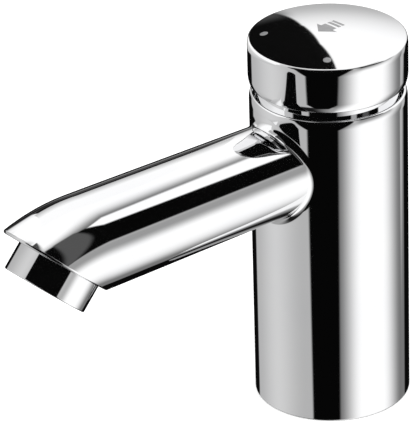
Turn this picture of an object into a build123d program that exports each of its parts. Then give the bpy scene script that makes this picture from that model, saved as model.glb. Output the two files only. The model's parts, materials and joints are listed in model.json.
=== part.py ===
from build123d import *
import math
import os

# A push timed basin tap. A chromed casting carries a round column and a level spout.
# A domed cap is pressed down to start the water and turned to either side to set its heat.
# +Z is up, the origin is the centre of the base, and the spout points along -Y.
# Every length is in millimetres and every angle in degrees.

# Column. Its width follows from the cartridge's ports, out through the walls round them.
port_circle_radius = 8.6
port_diameter = 5.6
port_land = 1.6
chamber_wall = 7.5
body_height = 102.0
body_top_edge_radius = 1.0
body_base_edge_radius = 0.4
base_wall = 3.5
ring_bore_wall = 6.0
ring_bore_depth = 14.0

# Spout, which swells a little from the column to its bend. Its width follows from the outlet.
spout_drop = 20.1
spout_swell = 0.8
spout_straight_length = 94.0
spout_bend_radius = 49.4
spout_bend_angle = 34.0
spout_junction_radius = 3.0
spout_wall = 3.0
spout_lip_radius = 0.7
spout_port_diameter = 12.0
spout_port_drop = 2.9

# Outlet. The spout is cut off there by a plane that leans the jet away from the column.
outlet_tilt = 41.3
outlet_advance = 8.8
outlet_drop = 3.5
outlet_thread_diameter = 24.0
outlet_wall = 3.2
outlet_socket_depth = 9.0
outlet_shoulder_thickness = 2.0
outlet_shoulder_width = 2.0

# Motion. The cap stands a few degrees round from square when the tap is at rest.
push_travel = 2.5
turn_angle = 48.0
rest_turn_angle = 4.5

# Cap
cap_overhang = 0.2
cap_gap = 2.9
cap_side_height = 14.1
cap_dome_height = 3.1
cap_wall = 2.2
cap_top_thickness = 2.2
cap_top_edge_radius = 0.8
cap_lower_edge_radius = 1.5
cap_boss_wall = 3.8
cap_boss_rise = 1.1
rod_seat_drop = 4.1
mark_diameter = 2.4
mark_depth = 1.5
mark_proud = 0.1
mark_circle_radius = 19.0
mark_angle = 45.0

# Collar that stands on the column inside the cap, so the gap shows plated metal
gap_collar_clearance = 0.4
gap_collar_wall = 1.2
gap_collar_rise = 5.0
gap_collar_foot = 1.2
gap_collar_spigot_depth = 0.9
gap_collar_spigot_wall = 0.5

# Grub screw at the cap's rear
grub_screw_diameter = 4.0
grub_screw_length = 5.0
grub_screw_rise = 4.3
grub_tip_diameter = 2.6
grub_tip_length = 1.9
grub_socket_flats = 2.0
grub_socket_depth = 2.2
grub_access_clearance = 0.3

# Inlet manifold
inlet_thread_diameter = 9.0
inlet_depth = 11.0
stud_hole_diameter = 6.8
stud_hole_depth = 14.0
stud_hole_offset = 10.5
manifold_foot_thickness = 10.0
manifold_neck_wall = 5.5
manifold_flange_thickness = 6.0
manifold_spigot_length = 6.5
base_seal_width = 2.4
base_seal_margin = 1.0
base_seal_thickness = 2.0

# Cartridge housing and discs
port_seal_width = 2.0
port_seal_thickness = 1.5
port_seal_proud = 0.6
housing_wall = 3.1
housing_floor = 2.9
housing_flange_thickness = 2.5
gallery_height = 13.0
gallery_depth = 1.6
seal_offset = 1.5
window_count = 6
window_width = 6.0
window_height = 9.0
key_width = 3.0
key_depth = 1.2
disc_clearance = 0.3
fixed_disc_thickness = 4.0
mixing_disc_thickness = 3.5
drive_lug_width = 4.0
drive_lug_height = 1.2

# Mixing sleeve
mixing_chamber_wall = 1.9
mixing_chamber_height = 8.5
seat_hole_diameter = 12.4
seat_thickness = 2.5
spring_chamber_wall = 4.8
spring_chamber_headroom = 2.5
timing_bore_wall = 1.7
timing_chamber_height = 7.8
timing_floor_thickness = 2.0
bleed_hole_diameter = 1.6
bleed_hole_count = 3
sleeve_neck_step = 1.9
sleeve_neck_length = 3.8
sleeve_recess = 1.2
sleeve_gallery_depth = 1.2
sleeve_window_width = 5.0

# Spindle head, retaining ring and stop
head_plug_length = 7.0
head_flange_thickness = 1.8
head_shoulder_width = 2.2
head_slot_depth = 2.0
retaining_lip_thickness = 3.7
spanner_notch_count = 4
spanner_notch_width = 3.0
spanner_notch_depth = 2.0
stop_ring_thickness = 2.0
stop_ring_width = 5.4
stop_lug_length = 3.1
stop_lug_half_angle = 8.0
stop_rim_width = 2.2

# Push rod, piston and valve
rod_diameter = 6.0
rod_thread_diameter = 4.0
rod_thread_run_out = 0.4
rod_collar_clearance = 0.7
rod_collar_thickness = 2.0
piston_thickness = 3.2
piston_clearance = 0.4
piston_groove_depth = 1.4
piston_groove_height = 1.8
piston_seal_lip = 0.45
clip_thickness = 0.6
clip_depth = 0.5
clip_width = 2.0
clip_mouth_angle = 60.0
valve_land = 2.0
valve_seal_thickness = 1.4
valve_disc_thickness = 1.5
valve_nut_flats = 7.0
valve_nut_height = 2.0

# Return spring, with its ends ground flat
spring_wire_diameter = 1.2
spring_length = 15.0
spring_turns = 6

# Aerator
aerator_rim_width = 1.2
aerator_length = 8.8
aerator_edge_radius = 0.4
aerator_bore_wall = 1.6
aerator_lip_width = 0.8
aerator_lip_thickness = 0.9
aerator_washer_thickness = 1.6
aerator_washer_overlap = 0.8
insert_wall = 1.0
insert_ledge_width = 1.0
insert_ledge_height = 7.0
insert_grille_thickness = 2.4
grille_cell_flats = 1.4
grille_rib_width = 0.4
grille_rings = 4
limiter_height = 3.0
limiter_hole_diameter = 1.8
limiter_hole_count = 6
limiter_hole_circle_radius = 5.2
screen_height = 3.2
screen_wall = 0.5
screen_crown_share = 0.6

# Clearances and cutting
running_clearance = 0.1
thread_clearance = 0.05
fit_clearance = 0.1
stop_clearance = 0.3
press_clearance = 0.4
seal_groove_width = 2.0
seal_groove_depth = 1.2
seal_clearance = 0.05
seal_sides = 8
overrun = 2.0

# Radii that follow from the sizes above, outwards from the ports
port_radius = port_diameter / 2
disc_radius = port_circle_radius + port_radius + port_land
housing_bore_radius = disc_radius + disc_clearance
spigot_radius = housing_bore_radius + housing_wall
chamber_radius = spigot_radius + fit_clearance
body_radius = chamber_radius + chamber_wall
cap_radius = body_radius + cap_overhang
manifold_bore_radius = body_radius - base_wall
ring_bore_radius = body_radius - ring_bore_wall

# Radii of what turns and slides inside the housing's bore
sleeve_radius = housing_bore_radius - running_clearance
mixing_chamber_radius = sleeve_radius - mixing_chamber_wall
spring_chamber_radius = sleeve_radius - spring_chamber_wall
sleeve_neck_radius = sleeve_radius - sleeve_neck_step
timing_bore_radius = sleeve_neck_radius - timing_bore_wall
lip_bore_radius = sleeve_neck_radius + stop_clearance
head_neck_radius = sleeve_neck_radius - head_shoulder_width
cap_bore_radius = head_neck_radius + running_clearance
cap_boss_radius = cap_bore_radius + cap_boss_wall
rod_radius = rod_diameter / 2
rod_thread_radius = rod_thread_diameter / 2
rod_collar_radius = spring_chamber_radius - rod_collar_clearance
piston_radius = timing_bore_radius - piston_clearance
valve_radius = seat_hole_diameter / 2 + valve_land
stop_ring_radius = lip_bore_radius + stop_ring_width
stop_recess_radius = stop_ring_radius - stop_rim_width
spring_mean_radius = rod_collar_radius - spring_wire_diameter / 2

# Levels, worked out downwards from the column's top edge
sleeve_top = body_height - sleeve_recess
sleeve_shoulder = sleeve_top - sleeve_neck_length
head_plug_base = sleeve_top - head_plug_length
timing_floor_top = head_plug_base - timing_chamber_height
timing_floor_base = timing_floor_top - timing_floor_thickness
collar_top = timing_floor_base - spring_chamber_headroom
collar_base = collar_top - rod_collar_thickness
seat_top = collar_base - spring_length
seat_base = seat_top - seat_thickness
sleeve_base = seat_base - mixing_chamber_height
mixing_disc_base = sleeve_base - mixing_disc_thickness
fixed_disc_base = mixing_disc_base - fixed_disc_thickness
housing_base = fixed_disc_base - housing_floor
manifold_top = housing_base - port_seal_proud
manifold_step = manifold_top - manifold_spigot_length
ring_step = body_height - ring_bore_depth
ring_base = ring_step + housing_flange_thickness
lip_base = sleeve_shoulder + stop_clearance
ring_top = lip_base + retaining_lip_thickness
head_flange_top = sleeve_top + head_flange_thickness
valve_top = seat_base - fit_clearance
valve_base = valve_top - valve_seal_thickness - valve_disc_thickness - valve_nut_height
piston_clip_top = head_plug_base - running_clearance * 2
piston_top = piston_clip_top - clip_thickness
piston_base = piston_top - piston_thickness

# Levels above the column
cap_base = body_height + cap_gap
cap_rim = cap_base + cap_side_height
cap_ceiling = cap_rim - cap_top_thickness
rod_top = cap_rim - rod_seat_drop
head_top = rod_top - push_travel - press_clearance
grub_screw_height = cap_base + grub_screw_rise
dome_radius = (cap_radius**2 + cap_dome_height**2) / (2 * cap_dome_height)
dome_centre = cap_rim + cap_dome_height - dome_radius

# Spout levels
spout_height = body_height - spout_drop
spout_port_height = spout_height - spout_port_drop
gallery_base = spout_port_height - gallery_height / 2
gallery_top = spout_port_height + gallery_height / 2
socket_shoulder = outlet_socket_depth + outlet_shoulder_thickness
outlet_radius = outlet_thread_diameter / 2
spout_tip_radius = outlet_radius + outlet_wall
spout_root_radius = spout_tip_radius - spout_swell
outlet_direction = (0, -math.sin(math.radians(outlet_tilt)), -math.cos(math.radians(outlet_tilt)))
outlet_plane = Plane(
    origin=(0, -spout_straight_length - outlet_advance, spout_height - outlet_drop),
    x_dir=(1, 0, 0),
    z_dir=outlet_direction,
)

# Aerator sizes, as depths outwards from the outlet's face
thread_end = aerator_washer_thickness - outlet_socket_depth
aerator_bore_radius = outlet_radius - aerator_bore_wall
aerator_lip_base = aerator_length - aerator_lip_thickness
insert_radius = aerator_bore_radius - fit_clearance
insert_bore_radius = insert_radius - insert_wall
insert_ledge = aerator_lip_base - insert_ledge_height

from_below = (Align.CENTER, Align.CENTER, Align.MIN)
from_above = (Align.CENTER, Align.CENTER, Align.MAX)


def disc(radius, low, high):
    """A solid cylinder on the column's axis between two heights."""
    return Pos(0, 0, low) * Cylinder(radius, high - low, align=from_below)


def ring(outer_radius, inner_radius, low, high):
    """A solid ring on the column's axis between two heights."""
    return disc(outer_radius, low, high) - disc(inner_radius, low - overrun, high + overrun)


def outlet_disc(radius, inner, outer):
    """A cylinder on the outlet's axis between two depths, counted outwards from its face."""
    return outlet_plane * disc(radius, inner, outer)


def beyond_outlet(depth):
    """Everything past a plane that lies at a depth from the outlet's face."""
    reach = spout_straight_length + spout_bend_radius
    return outlet_plane * Pos(0, 0, depth) * Box(reach, reach, reach, align=from_below)


def rim_edges(shape, height):
    """The round edges of a shape that lie level at a height."""
    rims = shape.edges().filter_by(GeomType.CIRCLE)
    return [edge for edge in rims if abs(edge.center().Z - height) < seal_clearance]


def supply_points():
    """Where the two supplies rise, behind the axis, one turn angle to either side of it."""
    angle = math.radians(turn_angle)
    y = port_circle_radius * math.cos(angle)
    return [(side * port_circle_radius * math.sin(angle), y) for side in (-1, 1)]


def around(count, shape):
    """Copies of a shape, evenly turned round the column's axis."""
    return [Rot(0, 0, step * 360 / count) * shape for step in range(count)]


def round_seal(inner_radius, outer_radius, height):
    """A round seal between two walls on the column's axis, just clear of both."""
    section = RegularPolygon((outer_radius - inner_radius) / 2 - seal_clearance, seal_sides)
    placed = Pos((outer_radius + inner_radius) / 2, height) * section
    return revolve(Plane.XZ * placed, Axis.Z)


def seal_groove(wall_radius, height):
    """The groove for a round seal in the outside of a wall."""
    half = seal_groove_width / 2
    return ring(wall_radius + overrun, wall_radius - seal_groove_depth, height - half, height + half)


def spout_form(start, wall):
    """The spout as a solid, from a distance off the column's axis. wall is how far it lies inside."""
    swell = spout_swell / spout_straight_length
    root = Plane(origin=(0, -start, spout_height), x_dir=(1, 0, 0), z_dir=(0, -1, 0))
    straight = root * Cone(
        spout_root_radius + swell * start - wall,
        spout_tip_radius - wall,
        spout_straight_length - start,
        align=from_below,
    )
    end = Plane(origin=(0, -spout_straight_length, spout_height), x_dir=(1, 0, 0), z_dir=(0, -1, 0))
    hinge = Axis((0, -spout_straight_length, spout_height - spout_bend_radius), (1, 0, 0))
    bend = revolve(end * Circle(spout_tip_radius - wall), hinge, revolution_arc=spout_bend_angle)
    return straight + bend


def body_casting():
    """Column and spout in one chromed casting, hollow inside."""
    casting = disc(body_radius, 0, body_height) + spout_form(chamber_radius, 0)
    junction = [
        edge
        for edge in casting.edges().filter_by(GeomType.BSPLINE)
        if edge.center().Y > -body_radius
    ]
    casting = fillet(junction, spout_junction_radius)
    casting -= beyond_outlet(0)
    cut_face = casting.faces().sort_by_distance(outlet_plane.origin)[0]
    casting = fillet(cut_face.edges(), spout_lip_radius)
    casting = fillet(rim_edges(casting, body_height), body_top_edge_radius)
    casting = fillet(rim_edges(casting, 0), body_base_edge_radius)

    casting -= disc(manifold_bore_radius, -overrun, manifold_step)
    casting -= disc(chamber_radius, manifold_step - overrun, ring_step + overrun)
    casting -= disc(ring_bore_radius, ring_step, body_height + overrun)

    # The waterway follows the spout's outside and stops at the shoulder of the outlet's socket.
    casting -= spout_form(body_radius - spout_wall, spout_wall) - beyond_outlet(-socket_shoulder)
    casting -= outlet_disc(outlet_radius, -outlet_socket_depth, overrun)
    casting -= outlet_disc(outlet_radius - outlet_shoulder_width, -socket_shoulder - overrun, 0)
    port = Cylinder(spout_port_diameter / 2, body_radius, align=from_below)
    return casting - Pos(0, 0, spout_port_height) * Rot(90, 0, 0) * port


def manifold_seal_height():
    """Height of the seal round the manifold's spigot."""
    return manifold_step + manifold_spigot_length / 2


def base_seal_radii():
    """Outer and inner radius of the groove for the base seal."""
    outer = manifold_bore_radius - base_seal_margin
    return outer, outer - base_seal_width


def inlet_manifold():
    """Brass block screwed up into the base: two supplies, a fixing hole and the cartridge's seat."""
    foot_radius = manifold_bore_radius - thread_clearance
    block = disc(foot_radius, 0, manifold_foot_thickness)
    block += disc(manifold_bore_radius - manifold_neck_wall, 0, manifold_step)
    block += disc(foot_radius, manifold_step - manifold_flange_thickness, manifold_step)
    block += disc(spigot_radius, manifold_step, manifold_top)
    for x, y in supply_points():
        inlet = disc(inlet_thread_diameter / 2, -overrun, inlet_depth)
        block -= Pos(x, y, 0) * (inlet + disc(port_radius, 0, manifold_top + overrun))
    block -= Pos(0, -stud_hole_offset, 0) * disc(stud_hole_diameter / 2, -overrun, stud_hole_depth)
    seal_outer, seal_inner = base_seal_radii()
    block -= ring(seal_outer, seal_inner, -overrun, base_seal_thickness)
    return block - seal_groove(spigot_radius, manifold_seal_height())


def base_seal():
    """Flat rubber ring in the base's groove, level with the face that stands on the basin."""
    outer, inner = base_seal_radii()
    return ring(outer - fit_clearance, inner + fit_clearance, 0, base_seal_thickness)


def manifold_o_ring():
    """Round seal between the manifold's spigot and the column's chamber."""
    return round_seal(spigot_radius - seal_groove_depth, chamber_radius, manifold_seal_height())


def port_seals():
    """Two flat rings between the manifold's supplies and the cartridge."""
    seal = ring(
        port_radius + port_seal_width, port_radius, manifold_top, manifold_top + port_seal_thickness
    )
    return Compound(children=[Pos(x, y, 0) * seal for x, y in supply_points()])


def housing_seal_heights():
    """Heights of the cartridge's two round seals, below and above the gallery."""
    half = seal_groove_width / 2
    return [gallery_base - seal_offset - half, (gallery_top + ring_step) / 2]


def windows(width, inner_radius, outer_radius):
    """Openings through a round wall, evenly spaced round the column's axis at the gallery."""
    opening = Pos((inner_radius + outer_radius) / 2, 0, spout_port_height) * Box(
        outer_radius - inner_radius, width, window_height
    )
    return around(window_count, opening)


def cartridge_housing():
    """Cup that holds the discs and the sleeve, with a gallery that feeds the spout all round."""
    housing = disc(spigot_radius, housing_base, ring_step)
    housing += disc(ring_bore_radius - thread_clearance, ring_step, ring_base)
    housing -= disc(housing_bore_radius, fixed_disc_base, ring_base + overrun)
    housing -= ring(chamber_radius, spigot_radius - gallery_depth, gallery_base, gallery_top)
    for opening in windows(window_width, housing_bore_radius - overrun, chamber_radius):
        housing -= opening
    for height in housing_seal_heights():
        housing -= seal_groove(spigot_radius, height)
    pocket_radius = port_radius + port_seal_width + fit_clearance
    pocket_top = manifold_top + port_seal_thickness
    for x, y in supply_points():
        hole = disc(port_radius, housing_base - overrun, fixed_disc_base + overrun)
        housing -= Pos(x, y, 0) * (hole + disc(pocket_radius, housing_base - overrun, pocket_top))
    for key in disc_keys(0):
        housing += key
    return housing


def disc_keys(clearance):
    """Two ribs low in the housing that stop the fixed disc turning, or their notches."""
    inner = housing_bore_radius - key_depth - clearance
    outer = housing_bore_radius + fit_clearance
    key = Pos((inner + outer) / 2, 0, fixed_disc_base) * Box(
        outer - inner, key_width + clearance * 2, fixed_disc_thickness, align=from_below
    )
    return around(2, key)


def cartridge_o_rings():
    """Two round seals between the cartridge and the column's chamber."""
    inner = spigot_radius - seal_groove_depth
    seals = [round_seal(inner, chamber_radius, height) for height in housing_seal_heights()]
    return Compound(children=seals)


def fixed_disc():
    """Ceramic disc with one port over each supply, held by the housing's ribs."""
    plate = disc(disc_radius, fixed_disc_base, mixing_disc_base)
    for x, y in supply_points():
        plate -= Pos(x, y, 0) * disc(port_radius, fixed_disc_base - overrun, mixing_disc_base + overrun)
    for notch in disc_keys(fit_clearance):
        plate -= notch
    return plate


def mixing_disc():
    """Ceramic disc whose curved port lies half over each supply when the heat is set midway."""
    half = turn_angle - math.degrees(port_radius / port_circle_radius)
    arc = CenterArc((0, 0), port_circle_radius, 90 - half, half * 2)
    port = extrude(SlotArc(arc, port_diameter), mixing_disc_thickness + overrun * 2)
    plate = disc(disc_radius, mixing_disc_base, sleeve_base)
    plate -= Pos(0, 0, mixing_disc_base - overrun) * port
    for notch in drive_lugs(fit_clearance):
        plate -= notch
    return plate


def drive_lugs(clearance):
    """Two lugs under the sleeve that turn the mixing disc, or their notches."""
    outer = disc_radius + clearance
    inner = mixing_chamber_radius - clearance
    lug = Pos((outer + inner) / 2, 0, sleeve_base) * Box(
        outer - inner,
        drive_lug_width + clearance * 2,
        drive_lug_height + clearance,
        align=from_above,
    )
    return around(2, lug)


def mixing_sleeve():
    """Sleeve that turns with the cap: mixing chamber, valve seat, spring chamber, timing bore."""
    sleeve = disc(sleeve_radius, sleeve_base, sleeve_shoulder)
    sleeve += disc(sleeve_neck_radius, sleeve_base, sleeve_top)
    sleeve -= disc(mixing_chamber_radius, sleeve_base - overrun, seat_base)
    sleeve -= disc(seat_hole_diameter / 2, seat_base - overrun, seat_top + overrun)
    sleeve -= disc(spring_chamber_radius, seat_top, timing_floor_base + overrun)
    sleeve -= disc(timing_bore_radius, timing_floor_base, sleeve_top + overrun)
    gallery_floor = sleeve_radius - sleeve_gallery_depth
    sleeve -= ring(housing_bore_radius, gallery_floor, gallery_base, gallery_top)
    inner = spring_chamber_radius - overrun
    for opening in windows(sleeve_window_width, inner, sleeve_radius + overrun):
        sleeve -= opening
    for lug in drive_lugs(0):
        sleeve += lug
    return sleeve


def timing_floor():
    """Disc on the sleeve's step that closes the timing chamber below and guides the rod."""
    plate = ring(
        timing_bore_radius - fit_clearance,
        rod_radius + running_clearance,
        timing_floor_base,
        timing_floor_top,
    )
    hole = disc(bleed_hole_diameter / 2, timing_floor_base - overrun, timing_floor_top + overrun)
    middle = (rod_radius + spring_chamber_radius) / 2
    for bleed in around(bleed_hole_count, Pos(middle, 0, 0) * hole):
        plate -= bleed
    return plate


def rear_sector(radius, half_angle, low, high):
    """A wedge of a disc, spread evenly to either side of the column's rear."""
    arc = CenterArc((0, 0), radius, 90 - half_angle, half_angle * 2)
    outline = make_face(Line((0, 0), arc @ 0) + arc + Line(arc @ 1, (0, 0)))
    return Pos(0, 0, low) * extrude(outline, high - low)


def head_seal_height():
    """Height of the rod's seal inside the head's plug."""
    return (head_plug_base + sleeve_top) / 2


def spindle_head():
    """Head screwed into the sleeve: closes the timing chamber, guides the rod, carries the cap."""
    lug_radius = sleeve_neck_radius + stop_lug_length
    head = disc(timing_bore_radius - thread_clearance, head_plug_base, sleeve_top)
    head += disc(sleeve_neck_radius, sleeve_top, head_flange_top)
    head += rear_sector(lug_radius, stop_lug_half_angle, ring_top + fit_clearance, head_flange_top)
    head += disc(head_neck_radius, head_flange_top, head_top)
    head -= disc(rod_radius + running_clearance, head_plug_base - overrun, head_top + overrun)
    half = seal_groove_width / 2
    middle = head_seal_height()
    head -= disc(rod_radius + seal_groove_depth, middle - half, middle + half)
    slot_reach = grub_tip_diameter / 2 + running_clearance
    slot_low = grub_screw_height - push_travel - slot_reach
    slot = Box(
        slot_reach * 2,
        head_slot_depth + overrun,
        grub_screw_height + slot_reach - slot_low,
        align=(Align.CENTER, Align.MIN, Align.MIN),
    )
    return head - Pos(0, head_neck_radius - head_slot_depth, slot_low) * slot


def head_o_ring():
    """Round seal round the push rod."""
    return round_seal(rod_radius, rod_radius + seal_groove_depth, head_seal_height())


def spanner_notch(clearance, depth):
    """One notch in the retaining ring's top, or the stop's tab that fits it."""
    outer = ring_bore_radius + overrun
    inner = ring_bore_radius - thread_clearance - spanner_notch_depth + clearance
    turn = 360 / spanner_notch_count / 2
    notch = Pos((inner + outer) / 2, 0, ring_top) * Box(
        outer - inner, spanner_notch_width - clearance * 2, depth, align=from_above
    )
    return Rot(0, 0, turn) * notch


def retaining_ring():
    """Threaded ring that holds the cartridge down, with notches for a pin spanner."""
    outer = ring_bore_radius - thread_clearance
    body = ring(outer, lip_bore_radius, ring_base, ring_top)
    body -= disc(housing_bore_radius, ring_base - overrun, lip_base)
    for notch in around(spanner_notch_count, spanner_notch(0, spanner_notch_depth)):
        body -= notch
    return body


def temperature_stop():
    """Ring keyed to the retaining ring, whose rear recess limits how far the head's lug turns."""
    top = ring_top + stop_ring_thickness
    plate = ring(stop_ring_radius, lip_bore_radius, ring_top, top)
    tab = spanner_notch(fit_clearance, spanner_notch_depth - fit_clearance)
    reach = disc(stop_ring_radius, ring_top - spanner_notch_depth, ring_top)
    for peg in around(spanner_notch_count, tab & reach):
        plate += peg
    slack = math.degrees(stop_clearance / stop_recess_radius)
    half_angle = turn_angle + stop_lug_half_angle + slack
    return plate - rear_sector(stop_recess_radius, half_angle, ring_top, top + overrun)


def push_rod():
    """Rod from the cap down to the valve, with the collar that the spring lifts."""
    rod = disc(rod_radius, valve_top, rod_top)
    rod += disc(rod_thread_radius, valve_base - rod_thread_run_out, rod_top)
    rod += disc(rod_collar_radius, collar_base, collar_top)
    for height in clip_heights():
        rod -= ring(rod_radius + overrun, rod_radius - clip_depth, height, height + clip_thickness)
    return rod


def clip_heights():
    """Undersides of the two clips, one below the piston and one above it."""
    return [piston_base - clip_thickness, piston_top]


def piston_clips():
    """Two open clips in the rod's grooves that hold the piston between them."""
    clips = []
    for height in clip_heights():
        outer = rod_radius - clip_depth + clip_width
        clip = ring(outer, rod_radius - clip_depth + seal_clearance, height, height + clip_thickness)
        mouth = rear_sector(outer + overrun, clip_mouth_angle / 2, height, height + clip_thickness)
        clips.append(clip - mouth)
    return Compound(children=clips)


def valve_seal():
    """Rubber washer that closes up against the seat."""
    return ring(
        valve_radius, rod_thread_radius + fit_clearance, valve_top - valve_seal_thickness, valve_top
    )


def valve_disc():
    """Brass washer that backs the valve's seal."""
    top = valve_top - valve_seal_thickness
    base = top - valve_disc_thickness
    return ring(valve_radius, rod_thread_radius + fit_clearance, base, top)


def valve_nut():
    """Nut that holds the valve's washers on the rod."""
    outline = RegularPolygon(valve_nut_flats / 2, 6, major_radius=False)
    nut = Pos(0, 0, valve_base) * extrude(outline, valve_nut_height)
    return nut - disc(rod_thread_radius + thread_clearance, valve_base - overrun, valve_top)


def piston():
    """Timing piston, which rises slowly as water bleeds out from above it."""
    half = piston_groove_height / 2
    middle = (piston_base + piston_top) / 2
    body = ring(piston_radius, rod_radius + thread_clearance, piston_base, piston_top)
    return body - ring(
        piston_radius + overrun, piston_radius - piston_groove_depth, middle - half, middle + half
    )


def piston_seal():
    """Lip seal in the piston's groove, open upwards, which lets water past on the way down."""
    middle = (piston_base + piston_top) / 2
    low = middle - piston_groove_height / 2 + seal_clearance
    high = middle + piston_groove_height / 2 - seal_clearance
    inner = piston_radius - piston_groove_depth + seal_clearance
    outer = timing_bore_radius - running_clearance
    outline = Polyline(
        (inner, low),
        (outer - piston_seal_lip, low),
        (outer, high),
        (outer - piston_seal_lip, high),
        ((inner + outer) / 2, low + piston_seal_lip),
        (inner + piston_seal_lip, high),
        (inner, high),
        close=True,
    )
    return revolve(Plane.XZ * make_face(outline), Axis.Z)


def coil_path(radius, low, height, turns):
    """A helix as arcs, two for each half turn, that meet tangent to each other and to the helix."""
    steps = turns * 2
    rise = height / turns / math.tau / radius

    def point(step):
        angle = math.pi * step
        return Vector(radius * math.cos(angle), radius * math.sin(angle), low + height * step / steps)

    def heading(step):
        angle = math.pi * step
        return Vector(-math.sin(angle), math.cos(angle), rise).normalized()

    arcs = []
    for step in range(steps):
        start, end = point(step), point(step + 1)
        leave, arrive = heading(step), heading(step + 1)
        chord = end - start
        along = chord.dot(leave + arrive)
        bend = 2 * (1 - leave.dot(arrive))
        reach = (math.sqrt(along**2 + bend * chord.dot(chord)) - along) / bend
        middle = (start + end + (leave - arrive) * reach) / 2
        first = TangentArc(start, middle, tangent=leave)
        arcs += [first, TangentArc(middle, end, tangent=first % 1)]
    return Wire(arcs)


def least_coil_gap(path, turns, wire):
    """The smallest distance between neighbouring turns of a coil's wire, measured on points."""
    points_per_turn = 24
    count = turns * points_per_turn
    points = [path @ (step / count) for step in range(count + 1)]
    gaps = [
        (points[far] - points[near]).length
        for near in range(count)
        for far in range(near + points_per_turn // 2, count + 1)
    ]
    return min(gaps) - wire


def return_spring():
    """Coil spring between the valve seat and the rod's collar, ground flat at both ends."""
    path = coil_path(spring_mean_radius, seat_top, spring_length, spring_turns)
    start = Plane(origin=path @ 0, z_dir=path % 0)
    wire = sweep(start * Circle(spring_wire_diameter / 2), path=path)
    gap = least_coil_gap(path, spring_turns, spring_wire_diameter)
    print("least gap between the spring's turns", round(gap, 2))
    return wire & disc(body_radius, seat_top, collar_base)


def gap_collar():
    """Plated collar on the column's top face, which closes the gap below the cap to view."""
    radius = cap_radius - cap_wall - gap_collar_clearance
    top = body_height + gap_collar_rise
    spigot_radius = ring_bore_radius - thread_clearance
    bore_radius = spigot_radius - gap_collar_spigot_wall
    spigot_base = body_height - gap_collar_spigot_depth
    collar = disc(radius, body_height, top)
    collar -= disc(radius - gap_collar_wall, body_height + gap_collar_foot, top + overrun)
    collar += disc(spigot_radius, spigot_base, body_height)
    return collar - disc(bore_radius, spigot_base - overrun, top)


def mark_column(side, radius):
    """An upright cylinder at one of the two marks, from its pocket's floor to above the dome."""
    angle = math.radians(mark_angle)
    x = side * mark_circle_radius * math.sin(angle)
    y = -mark_circle_radius * math.cos(angle)
    surface = dome_centre + math.sqrt(dome_radius**2 - mark_circle_radius**2)
    return Pos(x, y, 0) * disc(radius, surface - mark_depth, surface + overrun)


def inlaid_mark(side):
    """One of the two marks, whose top follows the dome and stands a little proud of it."""
    crown = Pos(0, 0, dome_centre) * Sphere(dome_radius + mark_proud)
    return mark_column(side, mark_diameter / 2) & crown


def push_cap():
    """Domed cap: a turned shell with a boss inside that slides on the spindle head and turns it."""
    crown = ThreePointArc(
        (cap_radius, cap_rim),
        (cap_radius / 2, dome_centre + math.sqrt(dome_radius**2 - cap_radius**2 / 4)),
        (0, dome_centre + dome_radius),
    )
    outline = Line((0, cap_base), (cap_radius, cap_base))
    outline += Line((cap_radius, cap_base), (cap_radius, cap_rim))
    outline += crown + Line(crown @ 1, (0, cap_base))
    shell = revolve(Plane.XZ * make_face(outline), Axis.Z)
    shell = fillet(rim_edges(shell, cap_rim), cap_top_edge_radius)
    shell = fillet(rim_edges(shell, cap_base), cap_lower_edge_radius)

    boss_base = cap_base + cap_boss_rise
    hollow = disc(cap_radius - cap_wall, cap_base - overrun, cap_ceiling)
    shell -= hollow - disc(cap_boss_radius, boss_base, cap_rim)
    shell -= disc(cap_bore_radius, cap_base - overrun, rod_top)
    thread = disc(grub_screw_diameter / 2 + thread_clearance, 0, cap_boss_radius + overrun)
    access = disc(grub_screw_diameter / 2 + grub_access_clearance, cap_boss_radius, cap_radius)
    rearwards = Pos(0, 0, grub_screw_height) * Rot(-90, 0, 0)
    shell -= rearwards * (thread + access)
    for side in (-1, 1):
        shell -= mark_column(side, mark_diameter / 2 + seal_clearance)
    return shell


def cap_grub_screw():
    """Grub screw at the cap's rear. Its tip rides in the head's slot, so the cap can't lift off."""
    shoulder = cap_bore_radius + fit_clearance
    end = shoulder - grub_tip_length + grub_screw_length
    screw = disc(grub_screw_diameter / 2, shoulder, end)
    screw += disc(grub_tip_diameter / 2, shoulder - grub_tip_length, shoulder)
    key = RegularPolygon(grub_socket_flats / 2, 6, major_radius=False)
    screw -= Pos(0, 0, end - grub_socket_depth) * extrude(key, grub_socket_depth)
    return Pos(0, 0, grub_screw_height) * Rot(-90, 0, 0) * screw


def hot_mark():
    """Inlaid mark on the cap's left, seen from the spout's side."""
    return inlaid_mark(-1)


def cold_mark():
    """Inlaid mark on the cap's right, seen from the spout's side."""
    return inlaid_mark(1)


def aerator_housing():
    """Chromed ring that screws into the outlet and holds the aerator's insert."""
    collar = disc(outlet_radius + aerator_rim_width, 0, aerator_length)
    collar = fillet(rim_edges(collar, aerator_length), aerator_edge_radius)
    shell = collar + disc(outlet_radius - thread_clearance, thread_end, 0)
    shell -= disc(aerator_bore_radius, thread_end - overrun, aerator_lip_base)
    shell -= disc(aerator_bore_radius - aerator_lip_width, 0, aerator_length + overrun)
    return outlet_plane * shell


def aerator_washer():
    """Flat rubber ring that seals the aerator against the end of its socket."""
    inner = insert_radius - aerator_washer_overlap
    return outlet_plane * ring(outlet_radius - fit_clearance, inner, -outlet_socket_depth, thread_end)


def grille_cells():
    """Outlines of the jet former's cells, in a honeycomb round its axis."""
    pitch = grille_cell_flats + grille_rib_width
    cell = RegularPolygon(grille_cell_flats / 2, 6, major_radius=False, rotation=30)
    places = range(-grille_rings, grille_rings + 1)
    return [
        Pos(pitch * (column + row / 2), pitch * row * math.sqrt(3) / 2, 0) * cell
        for row in places
        for column in places
        if abs(column + row) <= grille_rings
    ]


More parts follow.
